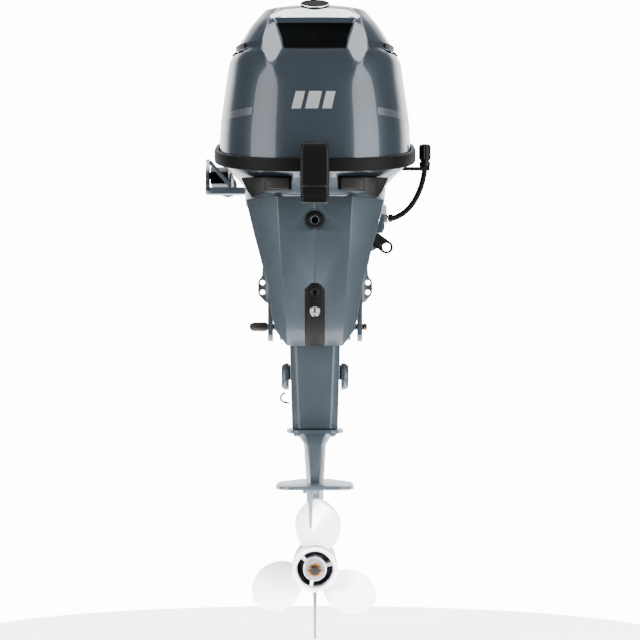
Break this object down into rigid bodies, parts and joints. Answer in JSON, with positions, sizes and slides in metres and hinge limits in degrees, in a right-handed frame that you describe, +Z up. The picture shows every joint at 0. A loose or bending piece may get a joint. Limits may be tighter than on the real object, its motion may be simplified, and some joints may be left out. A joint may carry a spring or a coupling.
{
  "type": "outboard motor",
  "caption": "Tiller-steered short-shaft outboard motor that clamps on a boat's transom, with lift-off cowl, tilt, steering and geared propeller.",
  "frame": {"origin": "centre of the transom's top edge at its outer (aft) face, level with the seats of the clamp brackets", "axes": "+X to starboard, +Y forward into the boat, +Z up; the motor hangs aft of the origin, in -Y"},
  "size_m": [0.394, 1.0673, 1.0821],
  "materials": {
    "blue_grey_paint": "metallic gloss",
    "black_plastic": "moulded satin",
    "black_rubber": "matt",
    "steel": "satin",
    "dark_steel": "black coated steel",
    "cast_alloy": "as cast",
    "white_paint": "semi gloss",
    "bronze": "satin bronze",
    "zinc_anode": "matt cast anode",
    "red_plastic": "gloss"
  },
  "bodies": {
    "clamp_brackets": {"clamp_bracket_port": "blue_grey_paint", "clamp_bracket_starboard": "blue_grey_paint", "tilt_tube": "steel", "tilt_nut_port": "dark_steel", "tilt_nut_starboard": "blue_grey_paint", "rope_eye": "dark_steel"},
    "trim_pin": {"trim_pin": "dark_steel"},
    "clamp_pad_port": {"clamp_pad_port": "steel"},
    "clamp_pad_starboard": {"clamp_pad_starboard": "steel"},
    "clamp_screw_port": {"clamp_screw_port": "dark_steel"},
    "clamp_screw_starboard": {"clamp_screw_starboard": "dark_steel"},
    "swivel": {"swivel_bracket": "blue_grey_paint", "steering_bush_upper": "black_plastic", "steering_bush_lower": "black_plastic"},
    "tilt_support": {"tilt_support_lever": "dark_steel"},
    "motor": {"steering_bracket": "blue_grey_paint", "upper_mount_port": "black_rubber", "upper_mount_starboard": "black_rubber", "lower_mount_yoke": "blue_grey_paint", "drive_shaft_housing": "blue_grey_paint", "apron_port": "blue_grey_paint", "apron_starboard": "blue_grey_paint", "apron_rear_plate": "black_plastic", "exhaust_grommet": "black_rubber", "bottom_cowl": "blue_grey_paint", "rear_grip_port": "black_plastic", "rear_grip_starboard": "black_plastic", "gearcase": "blue_grey_paint", "trim_tab": "zinc_anode", "water_pump_housing": "black_plastic", "flush_hose": "black_rubber", "flush_connector": "black_plastic", "flush_inlet": "blue_grey_paint", "ground_lead": "black_rubber", "cylinder_block": "cast_alloy", "cylinder_head": "cast_alloy", "recoil_housing": "black_plastic"},
    "top_cowling": {"top_cowl": "blue_grey_paint", "cowl_seal": "black_rubber", "air_duct": "black_plastic", "top_cap": "black_plastic"},
    "cowl_lock": {"cowl_lock_lever": "black_plastic"},
    "crank": {"flywheel": "cast_alloy", "drive_shaft": "steel", "pinion_gear": "steel", "pump_impeller": "black_rubber"},
    "forward_gear": {"forward_gear": "steel"},
    "reverse_gear": {"reverse_gear": "steel"},
    "propeller": {"propeller": "white_paint", "propeller_shaft": "steel", "propeller_nut": "bronze"},
    "clutch": {"clutch_dog": "steel"},
    "shift_rod": {"shift_rod": "steel"},
    "shift_lever": {"shift_lever": "black_plastic"},
    "tiller": {"tiller_arm": "black_plastic"},
    "throttle_grip": {"throttle_grip": "black_rubber"},
    "stop_button": {"stop_button": "red_plastic"},
    "starter": {"starter_handle": "black_plastic", "starter_rope": "black_rubber"},
    "choke": {"choke_knob": "black_plastic"}
  },
  "joints": [
    {"name": "tilt", "type": "hinge", "parent": "clamp_brackets", "child": "swivel", "pos_m": [0, 0.018, 0.034], "axis": [-1, 0, 0], "range_deg": [0, 68]},
    {"name": "steering", "type": "hinge", "parent": "swivel", "child": "motor", "pos_m": [0, -0.078, 0], "axis": [0, 0, 1], "range_deg": [-40, 40]},
    {"name": "trim_pin_pull", "type": "slide", "parent": "clamp_brackets", "child": "trim_pin", "axis": [-1, 0, 0], "range_m": [0, 0.19]},
    {"name": "clamp_pad_slide_port", "type": "slide", "parent": "clamp_brackets", "child": "clamp_pad_port", "axis": [0, -1, 0], "range_m": [0, 0.024]},
    {"name": "clamp_pad_slide_starboard", "type": "slide", "parent": "clamp_brackets", "child": "clamp_pad_starboard", "axis": [0, -1, 0], "range_m": [0, 0.024]},
    {"name": "clamp_screw_turn_port", "type": "hinge", "parent": "clamp_pad_port", "child": "clamp_screw_port", "pos_m": [-0.078, 0.1, -0.05], "axis": [0, -1, 0], "range_deg": [0, 2160]},
    {"name": "clamp_screw_turn_starboard", "type": "hinge", "parent": "clamp_pad_starboard", "child": "clamp_screw_starboard", "pos_m": [0.078, 0.1, -0.05], "axis": [0, -1, 0], "range_deg": [0, 2160]},
    {"name": "tilt_support_swing", "type": "hinge", "parent": "swivel", "child": "tilt_support", "pos_m": [0, -0.046, -0.01], "axis": [1, 0, 0], "range_deg": [0, 60]},
    {"name": "cowl_lift", "type": "slide", "parent": "motor", "child": "top_cowling", "axis": [0, 0, 1], "range_m": [0, 0.3]},
    {"name": "cowl_lock", "type": "hinge", "parent": "top_cowling", "child": "cowl_lock", "pos_m": [0, -0.431, 0.12], "axis": [-1, 0, 0], "range_deg": [0, 75]},
    {"name": "crank_spin", "type": "hinge", "parent": "motor", "child": "crank", "pos_m": [0, -0.165, 0], "axis": [0, 0, 1], "continuous": true},
    {"name": "forward_gear_spin", "type": "hinge", "parent": "motor", "child": "forward_gear", "pos_m": [0, -0.165, -0.576], "axis": [0, 1, 0], "continuous": true},
    {"name": "reverse_gear_spin", "type": "hinge", "parent": "motor", "child": "reverse_gear", "pos_m": [0, -0.165, -0.576], "axis": [0, 1, 0], "continuous": true},
    {"name": "propeller_spin", "type": "hinge", "parent": "motor", "child": "propeller", "pos_m": [0, -0.165, -0.576], "axis": [0, 1, 0], "continuous": true},
    {"name": "clutch_slide", "type": "slide", "parent": "propeller", "child": "clutch", "axis": [0, 1, 0], "range_m": [-0.004, 0.004]},
    {"name": "shift_rod_slide", "type": "slide", "parent": "motor", "child": "shift_rod", "axis": [0, 0, 1], "range_m": [-0.004, 0.004]},
    {"name": "shift_lever_swing", "type": "hinge", "parent": "motor", "child": "shift_lever", "pos_m": [0.107, 0.03, 0.118], "axis": [1, 0, 0], "range_deg": [-20, 20]},
    {"name": "tiller_fold", "type": "hinge", "parent": "motor", "child": "tiller", "pos_m": [-0.17, 0.02, 0.098], "axis": [1, 0, 0], "range_deg": [0, 90]},
    {"name": "throttle_twist", "type": "hinge", "parent": "tiller", "child": "throttle_grip", "pos_m": [-0.17, 0.54, 0.098], "axis": [0, 1, 0], "range_deg": [0, 80]},
    {"name": "stop_button_press", "type": "slide", "parent": "tiller", "child": "stop_button", "axis": [0, 0, -1], "range_m": [0, 0.003], "stiffness_N_per_m": 400, "springref_m": -0.001},
    {"name": "starter_pull", "type": "slide", "parent": "motor", "child": "starter", "axis": [0, 1, 0], "range_m": [0, 0.15], "stiffness_N_per_m": 40, "springref_m": -0.02},
    {"name": "choke_pull", "type": "slide", "parent": "motor", "child": "choke", "axis": [0, 1, 0], "range_m": [0, 0.022]}
  ],
  "couplings": [
    {"joint": "clamp_pad_slide_port", "follows": "clamp_screw_turn_port", "m_per_rad": 0.00063662},
    {"joint": "clamp_pad_slide_starboard", "follows": "clamp_screw_turn_starboard", "m_per_rad": 0.00063662},
    {"joint": "forward_gear_spin", "follows": "crank_spin", "ratio": -0.48148},
    {"joint": "reverse_gear_spin", "follows": "crank_spin", "ratio": 0.48148},
    {"joint": "clutch_slide", "follows": "shift_lever_swing", "m_per_rad": 0.01145},
    {"joint": "shift_rod_slide", "follows": "shift_lever_swing", "m_per_rad": 0.01145}
  ]
}
